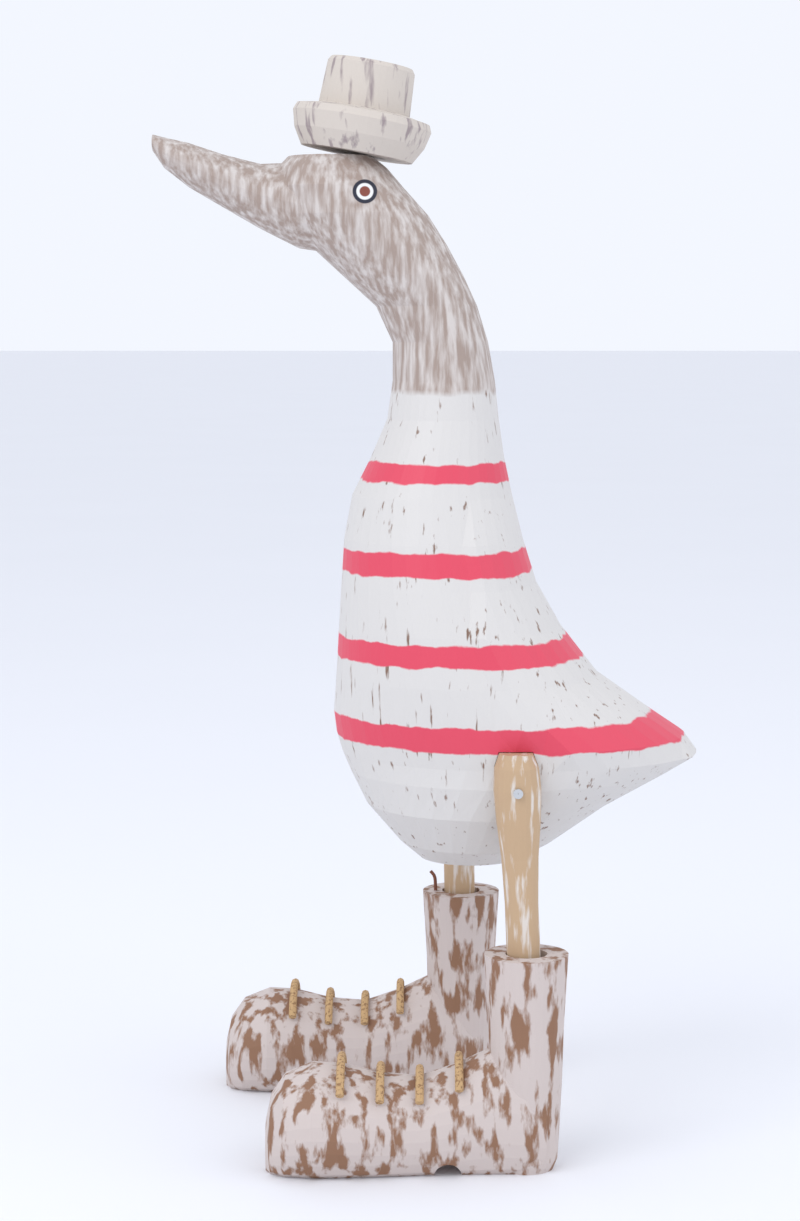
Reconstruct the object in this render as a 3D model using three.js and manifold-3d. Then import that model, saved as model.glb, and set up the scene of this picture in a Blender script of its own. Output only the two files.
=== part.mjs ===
// Carved wooden duck with a hat and laced boots. Millimetres, +Z up, beak towards -X.
import * as THREE from "three";
import { mergeVertices } from "three/addons/utils/BufferGeometryUtils.js";
import Module from "manifold-3d";

const wasm = await Module();
wasm.setup();

// Driving dimensions
const GAP = 0.3;
const FOOT_SPACING = 104;
const SOLE_TO_RIM = 78;
const SHAFT_TOP_RADIUS = 15;
const ANKLE_RADIUS = 13;
const HOLE_RADIUS = 7.5;
const HOLE_BOTTOM = 52;
const LEG_RADIUS = 6;
const LEG_TOP = 150;
const HAUNCH_RADIUS = 8.5;
const NAIL_RADIUS = 1.75;
const NAIL_THICKNESS = 1;
const LACE_RADIUS = 1.5;
const PIN_RADIUS = 0.65;
const WING_STEP = 3;
const HAT_LEAN = THREE.MathUtils.degToRad(10);
const HAT_SEAT = new THREE.Vector3(-31, 0, 362);
const SHAFT_X = { left: 30, right: 8 };
const LEG_TOP_X = { left: 26, right: 6 };
const SIDE_SIGN = { left: -1, right: 1 };
const HALF_PI = Math.PI / 2;

// Slivers shorter than this are joined away after a cut
const SMALLEST_EDGE = 0.02;

// Body sections from the rump up: height, breast x, back x, half width
const BODY_SECTIONS = [
  [100, 2, 12, 5],
  [103, -8, 30, 20],
  [110, -16, 42, 33],
  [124, -28, 62, 44],
  [136, -34, 84, 49],
  [143, -37, 95, 50],
  [150, -39, 90, 51],
  [158, -40, 78, 51],
  [172, -39, 58, 50],
  [190, -38, 44, 47],
  [206, -37, 35, 43],
  [222, -36, 30, 39],
  [238, -33, 26, 34],
  [252, -26, 23, 29],
  [266, -20, 21, 25],
  [280, -18, 19.5, 23],
  [294, -18, 17, 22],
  [307, -24, 13, 22],
  [318, -36, 8, 24],
  [329, -48, 2, 25],
  [340, -58, -5, 25],
  [350, -62, -14, 23],
  [357, -60, -20, 20],
  [361, -56, -25, 17],
];

// Beak sections from the root to the tip: x, lower z, upper z, half width
const BEAK_SECTIONS = [
  [-38, 326, 358, 20],
  [-52, 328, 359, 18],
  [-66, 335, 358.5, 14],
  [-80, 343, 362, 12],
  [-92, 350, 366, 11],
  [-101, 357, 368, 9],
  [-105, 363, 369, 5],
];

// Foot sections from the toe to the heel, about the shaft: x, height, half width
const FOOT_SECTIONS = [
  [-93, 18, 7],
  [-91, 27, 14],
  [-86, 34, 19],
  [-76, 38, 21.5],
  [-66, 37.5, 21],
  [-52, 34, 19],
  [-38, 33, 16.5],
  [-24, 38, 15],
  [-12, 44, 14.5],
  [0, 42, 14],
  [7, 34, 11],
];

function solidFrom(geometry) {
  geometry.deleteAttribute("normal");
  geometry.deleteAttribute("uv");
  const merged = mergeVertices(geometry, 1e-3);
  const vertProperties = new Float32Array(merged.attributes.position.array);
  const triVerts = new Uint32Array(merged.index.array);
  return new wasm.Manifold(new wasm.Mesh({ numProp: 3, vertProperties, triVerts }));
}

function geometryFrom(solid) {
  const mesh = solid.simplify(SMALLEST_EDGE).getMesh();
  const geometry = new THREE.BufferGeometry();
  geometry.setAttribute("position", new THREE.BufferAttribute(mesh.vertProperties, 3));
  geometry.setIndex(new THREE.BufferAttribute(mesh.triVerts, 1));
  geometry.computeVertexNormals();
  return geometry;
}

// A closed skin over rings of points, each ring running the same way round
function loft(rings) {
  const count = rings[0].length;
  const middles = [rings[0], rings[rings.length - 1]].map((ring) => {
    const sum = new THREE.Vector3();
    ring.forEach((point) => sum.add(point));
    return sum.divideScalar(count);
  });
  const points = [...rings.flat(), ...middles];
  const last = (rings.length - 1) * count;
  const faces = [];
  for (let side = 0; side < count; side += 1) {
    const next = (side + 1) % count;
    for (let row = 0; row < last; row += count) {
      faces.push(row + side, row + next, row + count + next);
      faces.push(row + side, row + count + next, row + count + side);
    }
    faces.push(last + count, next, side);
    faces.push(last + count + 1, last + side, last + next);
  }
  const geometry = new THREE.BufferGeometry();
  geometry.setAttribute("position", new THREE.Float32BufferAttribute(points.flatMap((p) => p.toArray()), 3));
  geometry.setIndex(faces);
  return geometry;
}

function wingRise(x, z) {
  const crease = 8 + (230 - z) * 0.16;
  const lowerEdge = 152 - (x - 30) * 0.15;
  return x > crease && z > lowerEdge && z < 232 ? WING_STEP : 0;
}

function bodyRing([z, front, back, halfWidth]) {
  const sides = 40;
  return Array.from({ length: sides }, (_, side) => {
    const angle = (side / sides) * 2 * Math.PI;
    const x = (front + back) / 2 + ((back - front) / 2) * Math.cos(angle);
    const y = halfWidth * Math.sin(angle);
    const rise = Math.abs(Math.sin(angle)) > 0.3 ? wingRise(x, z) : 0;
    return new THREE.Vector3(x, y + Math.sign(y) * rise, z);
  });
}

function beakRing([x, low, high, halfWidth]) {
  const sides = 28;
  return Array.from({ length: sides }, (_, side) => {
    const angle = (-side / sides) * 2 * Math.PI;
    const z = (low + high) / 2 + ((high - low) / 2) * Math.sin(angle);
    return new THREE.Vector3(x, halfWidth * Math.cos(angle), z);
  });
}

function footPoint(height, halfWidth, angle) {
  const z = height * (0.42 + 0.58 * Math.sin(angle));
  return [halfWidth * Math.cos(angle), Math.max(0, z)];
}

function footRing([x, height, halfWidth]) {
  const sides = 28;
  return Array.from({ length: sides }, (_, side) => {
    const [y, z] = footPoint(height, halfWidth, (side / sides) * 2 * Math.PI);
    return new THREE.Vector3(x, y, z);
  });
}

function turned(profile, sides) {
  const points = profile.map(([radius, height]) => new THREE.Vector2(radius, height));
  return new THREE.LatheGeometry(points, sides).rotateX(HALF_PI);
}

function tube(points, radius, sides, steps) {
  const section = new THREE.Shape();
  for (let side = 0; side < sides; side += 1) {
    const angle = (side / sides) * 2 * Math.PI;
    const place = [radius * Math.cos(angle), radius * Math.sin(angle)];
    if (side === 0) section.moveTo(...place);
    else section.lineTo(...place);
  }
  const extrudePath = new THREE.CatmullRomCurve3(points);
  return new THREE.ExtrudeGeometry(section, { steps, extrudePath, bevelEnabled: false });
}

// The stick runs straight from the boot to the hip and widens into the haunch
function legGeometry(side, extra) {
  const y = (SIDE_SIGN[side] * FOOT_SPACING) / 2;
  const stations = [0, 0.45, 0.62, 0.75, 0.87, 0.95, 1];
  const widths = [0, 0, 0.25, 0.75, 1, 0.75, 0];
  const low = HOLE_BOTTOM + GAP;
  const rings = stations.map((station, index) => {
    const x = SHAFT_X[side] + (LEG_TOP_X[side] - SHAFT_X[side]) * station;
    const radius = LEG_RADIUS + (HAUNCH_RADIUS - LEG_RADIUS) * widths[index] + extra;
    const z = low + (LEG_TOP - low) * station + (station === 1 ? extra : 0);
    return Array.from({ length: 20 }, (_, corner) => {
      const angle = (corner / 20) * 2 * Math.PI;
      return new THREE.Vector3(x + radius * Math.cos(angle), y + radius * Math.sin(angle), z);
    });
  });
  return loft(rings);
}

function duckBodyGeometry() {
  const trunk = solidFrom(loft(BODY_SECTIONS.map(bodyRing)));
  const beak = solidFrom(loft(BEAK_SECTIONS.map(beakRing)));
  let body = trunk.add(beak);
  for (const side of ["left", "right"]) {
    body = body.subtract(solidFrom(legGeometry(side, GAP)));
  }
  const seatCut = new THREE.BoxGeometry(90, 90, 40).translate(0, 0, 20 - GAP);
  seatCut.rotateY(HAT_LEAN).translate(HAT_SEAT.x, HAT_SEAT.y, HAT_SEAT.z);
  const beakClear = new THREE.BoxGeometry(60, 90, 60).translate(-90, 0, 365);
  return geometryFrom(body.subtract(solidFrom(seatCut).subtract(solidFrom(beakClear))));
}

function bootGeometry() {
  const foot = solidFrom(loft(FOOT_SECTIONS.map(footRing)));
  const shaft = solidFrom(turned([
    [0, 0],
    [10, 0],
    [11.5, 4],
    [ANKLE_RADIUS, 34],
    [ANKLE_RADIUS + 0.5, 52],
    [SHAFT_TOP_RADIUS, SOLE_TO_RIM],
    [0, SOLE_TO_RIM],
  ], 32));
  const hole = solidFrom(turned([
    [0, HOLE_BOTTOM],
    [HOLE_RADIUS, HOLE_BOTTOM],
    [HOLE_RADIUS, SOLE_TO_RIM + 5],
    [0, SOLE_TO_RIM + 5],
  ], 24));
  const notch = new THREE.CylinderGeometry(5, 5, 70, 16).translate(-28, 0, 0);
  return geometryFrom(foot.add(shaft).subtract(hole).subtract(solidFrom(notch)));
}

function laceGeometry(section) {
  const [x, height, halfWidth] = section;
  const rise = LACE_RADIUS + 1;
  const points = [];
  for (let step = 0; step <= 8; step += 1) {
    const angle = THREE.MathUtils.degToRad(40 + step * 12.5);
    const [y, z] = footPoint(height, halfWidth, angle);
    points.push(new THREE.Vector3(x, y + rise * Math.cos(angle), z + rise * Math.sin(angle)));
  }
  return tube(points, LACE_RADIUS, 8, 12);
}

function material(color, roughness, metalness = 0) {
  return new THREE.MeshStandardMaterial({ color, roughness, metalness });
}

const group = new THREE.Group();

function addPiece(name, geometry, look, x = 0, y = 0, z = 0) {
  const piece = new THREE.Mesh(geometry, look);
  piece.name = name;
  piece.position.set(x, y, z);
  group.add(piece);
  return piece;
}

addPiece("duck_body", duckBodyGeometry(), material(0xe8e3dc, 0.65));

const hatProfile = [
  [0, 0],
  [20.5, 0],
  [24, 6],
  [25.5, 12],
  [24.5, 14.5],
  [16.8, 16],
  [16, 31.5],
  [15, 33],
  [0, 33],
];
const hat = addPiece("hat", turned(hatProfile, 48), material(0xd8cfc4, 0.75), ...HAT_SEAT.toArray());
hat.rotation.y = HAT_LEAN;

for (const side of ["left", "right"]) {
  const y = (SIDE_SIGN[side] * FOOT_SPACING) / 2;
  addPiece(`${side}_boot`, bootGeometry(), material(0xb89f8c, 0.7), SHAFT_X[side], y);
  addPiece(`${side}_leg`, legGeometry(side, 0), material(0xb8956b, 0.7));
  const nail = new THREE.CylinderGeometry(NAIL_RADIUS, NAIL_RADIUS, NAIL_THICKNESS, 20);
  const nailOut = HAUNCH_RADIUS + GAP + NAIL_THICKNESS / 2;
  const nailHeight = HOLE_BOTTOM + (LEG_TOP - HOLE_BOTTOM) * 0.87;
  addPiece(`${side}_hip_nail`, nail, material(0xb8bcc2, 0.35, 0.9), LEG_TOP_X[side] + 0.5,
    y + SIDE_SIGN[side] * nailOut, nailHeight);
  FOOT_SECTIONS.slice(4, 8).forEach((section, index) => {
    addPiece(`${side}_lace_${index + 1}`, laceGeometry(section), material(0xb98a54, 0.9), SHAFT_X[side], y);
  });
}

const pinPoints = [
  new THREE.Vector3(-12, -2, SOLE_TO_RIM + 8),
  new THREE.Vector3(-10.5, -2, SOLE_TO_RIM + 6),
  new THREE.Vector3(-10, -2, SOLE_TO_RIM + GAP),
];
addPiece("pin", tube(pinPoints, PIN_RADIUS, 8, 8), material(0x6b3a24, 0.6),
  SHAFT_X.right, FOOT_SPACING / 2);

// The origin goes to the middle of the bounding box, at the soles
group.updateMatrixWorld(true);
const box = new THREE.Box3().setFromObject(group, true);
group.position.set(-(box.min.x + box.max.x) / 2, -(box.min.y + box.max.y) / 2, -box.min.z);

export default group;
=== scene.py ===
import bpy
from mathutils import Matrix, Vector

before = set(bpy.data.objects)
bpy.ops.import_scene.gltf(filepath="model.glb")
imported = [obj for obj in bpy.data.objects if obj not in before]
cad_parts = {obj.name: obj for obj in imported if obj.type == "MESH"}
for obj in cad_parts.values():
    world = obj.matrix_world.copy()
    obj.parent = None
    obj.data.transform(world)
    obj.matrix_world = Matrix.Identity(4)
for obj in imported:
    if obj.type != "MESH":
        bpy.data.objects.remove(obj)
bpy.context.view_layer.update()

# Heights of the painted bands on the body, lowest and highest edge, in metres
RED_BANDS = [(0.151, 0.160), (0.181, 0.189), (0.2125, 0.221), (0.2455, 0.252)]
HEAD_COLOUR_FROM = 0.277
BAND_EDGE = 0.0006
BAND_WANDER = 0.004
EYE_X = -0.0225
EYE_HEIGHT = 0.3475
EYE_RADIUS = 0.0045
EYE_EDGE = 0.0003

# Camera and what it looks at, in metres and millimetres of lens
LOOK_AT = Vector((0, 0, 0.195))
CAMERA_DISTANCE = 0.95
CAMERA_HEIGHT = 0.30
CAMERA_SHIFT = -0.023
CAMERA_LENS = 76

CREAM = (0.66, 0.64, 0.62)
RED = (0.72, 0.06, 0.11)
HEAD_BROWN = (0.36, 0.28, 0.24)
STREAK_BROWN = (0.22, 0.13, 0.09)
BOOT_BROWN = (0.27, 0.14, 0.08)
NAVY = (0.01, 0.012, 0.03)
EYE_WHITE = (0.8, 0.8, 0.8)
PUPIL_BROWN = (0.22, 0.05, 0.03)
HEAD_PALE = (0.62, 0.57, 0.54)
SKY = (0.90, 0.93, 1.0, 1.0)
FLOOR_DARK = (0.84, 0.85, 0.89)
FLOOR_PALE = (0.86, 0.87, 0.91)

# Rings of the eye from the outside in: share of its radius, colour
EYE_RINGS = [(1.0, NAVY), (0.7, EYE_WHITE), (0.45, PUPIL_BROWN)]

# Soft lamps: place in metres, power in watts, width in metres
LAMPS = [((-0.9, -1.1, 1.4), 10, 1.2), ((1.2, -0.6, 1.1), 4, 1.4)]
FLOOR_SIZE = 60
GRAIN_DEPTH = 0.0006


class Nodes:
    """Builds one procedural material step by step."""

    def __init__(self, name, roughness, metallic=0.0):
        self.material = bpy.data.materials.new(name)
        self.material.use_nodes = True
        self.tree = self.material.node_tree
        self.shader = self.tree.nodes["Principled BSDF"]
        self.shader.inputs["Roughness"].default_value = roughness
        self.shader.inputs["Metallic"].default_value = metallic
        self.place = self.tree.nodes.new("ShaderNodeTexCoord").outputs["Object"]

    def math(self, operation, first, second):
        node = self.tree.nodes.new("ShaderNodeMath")
        node.operation = operation
        for socket, value in zip(node.inputs, (first, second)):
            if isinstance(value, (int, float)):
                socket.default_value = value
            else:
                self.tree.links.new(value, socket)
        return node.outputs[0]

    def noise(self, stretch, detail=5.0):
        mapping = self.tree.nodes.new("ShaderNodeMapping")
        mapping.inputs["Scale"].default_value = stretch
        self.tree.links.new(self.place, mapping.inputs["Vector"])
        texture = self.tree.nodes.new("ShaderNodeTexNoise")
        texture.inputs["Scale"].default_value = 1.0
        texture.inputs["Detail"].default_value = detail
        self.tree.links.new(mapping.outputs["Vector"], texture.inputs["Vector"])
        return texture.outputs["Fac"]

    def step(self, value, low, high):
        node = self.tree.nodes.new("ShaderNodeMapRange")
        node.inputs["From Min"].default_value = low
        node.inputs["From Max"].default_value = high
        self.tree.links.new(value, node.inputs["Value"])
        return node.outputs["Result"]

    def mix(self, factor, first, second):
        node = self.tree.nodes.new("ShaderNodeMix")
        node.data_type = "RGBA"
        self.tree.links.new(factor, node.inputs["Factor"])
        for socket, value in ((node.inputs["A"], first), (node.inputs["B"], second)):
            if isinstance(value, tuple):
                socket.default_value = (*value, 1.0)
            else:
                self.tree.links.new(value, socket)
        return node.outputs["Result"]

    def finish(self, colour, relief, strength=0.3):
        bump = self.tree.nodes.new("ShaderNodeBump")
        bump.inputs["Strength"].default_value = strength
        bump.inputs["Distance"].default_value = GRAIN_DEPTH
        self.tree.links.new(relief, bump.inputs["Height"])
        self.tree.links.new(bump.outputs["Normal"], self.shader.inputs["Normal"])
        self.tree.links.new(colour, self.shader.inputs["Base Color"])
        return self.material


def streaked(name, base, streak, stretch, amount, roughness=0.65, metallic=0.0):
    """Worn paint or wood: streaks of a second colour, more of them for a larger amount."""
    paint = Nodes(name, roughness, metallic)
    grain = paint.noise(stretch)
    colour = paint.mix(paint.step(grain, 0.62 - amount, 0.72 - amount), base, streak)
    return paint.finish(colour, grain)


def body_paint():
    """Streaked cream with red bands, and a grey-brown head above the neck line."""
    paint = Nodes("body_paint", 0.5)
    parts = paint.tree.nodes.new("ShaderNodeSeparateXYZ")
    paint.tree.links.new(paint.place, parts.inputs[0])
    wander = paint.math("MULTIPLY", paint.noise((90, 90, 90)), BAND_WANDER)
    height = paint.math("ADD", parts.outputs["Z"], wander)
    grain = paint.noise((420, 420, 60))
    streaks = paint.step(grain, 0.63, 0.7)
    colour = paint.mix(streaks, CREAM, STREAK_BROWN)
    head = paint.mix(paint.step(grain, 0.4, 0.65), HEAD_BROWN, HEAD_PALE)
    colour = paint.mix(paint.step(height, HEAD_COLOUR_FROM, HEAD_COLOUR_FROM + 0.002), colour, head)
    for low, high in RED_BANDS:
        above_low = paint.step(height, low, low + BAND_EDGE)
        below_high = paint.math("SUBTRACT", 1.0, paint.step(height, high, high + BAND_EDGE))
        inside = paint.math("MULTIPLY", above_low, below_high)
        colour = paint.mix(inside, colour, RED)
    return paint.finish(eye_over(paint, parts, colour), grain)


def eye_over(paint, parts, colour):
    """The eye is the same on both sides: a dark ring, a white ring and a brown pupil."""
    along = paint.math("SUBTRACT", parts.outputs["X"], EYE_X)
    up = paint.math("SUBTRACT", parts.outputs["Z"], EYE_HEIGHT)
    square = paint.math("ADD", paint.math("MULTIPLY", along, along), paint.math("MULTIPLY", up, up))
    distance = paint.math("SQRT", square, 0.0)
    for share, ring in EYE_RINGS:
        edge = EYE_RADIUS * share
        inside = paint.math("SUBTRACT", 1.0, paint.step(distance, edge - EYE_EDGE, edge))
        colour = paint.mix(inside, colour, ring)
    return colour


LOOKS = {
    "duck_body": body_paint(),
    "hat": streaked("hat_wood", (0.62, 0.56, 0.50), (0.34, 0.28, 0.28), (300, 300, 40), 0.06),
    "boot": streaked("boot_wood", (0.60, 0.52, 0.49), BOOT_BROWN, (240, 240, 70), 0.13),
    "leg": streaked("leg_wood", (0.52, 0.36, 0.22), (0.70, 0.64, 0.58), (350, 350, 50), 0.08),
    "lace": streaked("twine", (0.55, 0.36, 0.18), (0.30, 0.17, 0.08), (900, 900, 900), 0.1, 0.9),
    "nail": streaked("nail_steel", (0.60, 0.62, 0.64), (0.25, 0.22, 0.20), (700, 700, 700), 0.03, 0.35, 0.9),
    "pin": streaked("twig", (0.20, 0.07, 0.04), (0.10, 0.04, 0.02), (600, 600, 200), 0.08),
}


def dress_pieces():
    for node_name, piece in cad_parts.items():
        kind = next(word for word in LOOKS if word in node_name)
        piece.data.materials.clear()
        piece.data.materials.append(LOOKS[kind])


def aim(thing, place):
    thing.location = place
    thing.rotation_euler = (LOOK_AT - thing.location).to_track_quat("-Z", "Y").to_euler()
    bpy.context.scene.collection.objects.link(thing)


def add_world():
    world = bpy.data.worlds.new("studio")
    world.use_nodes = True
    background = world.node_tree.nodes["Background"]
    background.inputs["Color"].default_value = SKY
    background.inputs["Strength"].default_value = 1.0
    bpy.context.scene.world = world
    bpy.context.scene.view_settings.view_transform = "Standard"


def add_floor():
    bpy.ops.mesh.primitive_plane_add(size=FLOOR_SIZE)
    floor = bpy.context.object
    paint = Nodes("floor_paint", 0.8)
    grain = paint.noise((3, 3, 3))
    floor.data.materials.append(paint.finish(paint.mix(grain, FLOOR_DARK, FLOOR_PALE), grain, 0.02))


def add_lamps():
    for place, power, size in LAMPS:
        lamp_data = bpy.data.lights.new("softbox", "AREA")
        lamp_data.energy = power
        lamp_data.size = size
        aim(bpy.data.objects.new("softbox", lamp_data), place)


def add_camera():
    camera_data = bpy.data.cameras.new("camera")
    camera_data.lens = CAMERA_LENS
    camera_data.shift_x = CAMERA_SHIFT
    camera = bpy.data.objects.new("camera", camera_data)
    aim(camera, (0, -CAMERA_DISTANCE, CAMERA_HEIGHT))
    bpy.context.scene.camera = camera


dress_pieces()
add_world()
add_floor()
add_lamps()
add_camera()
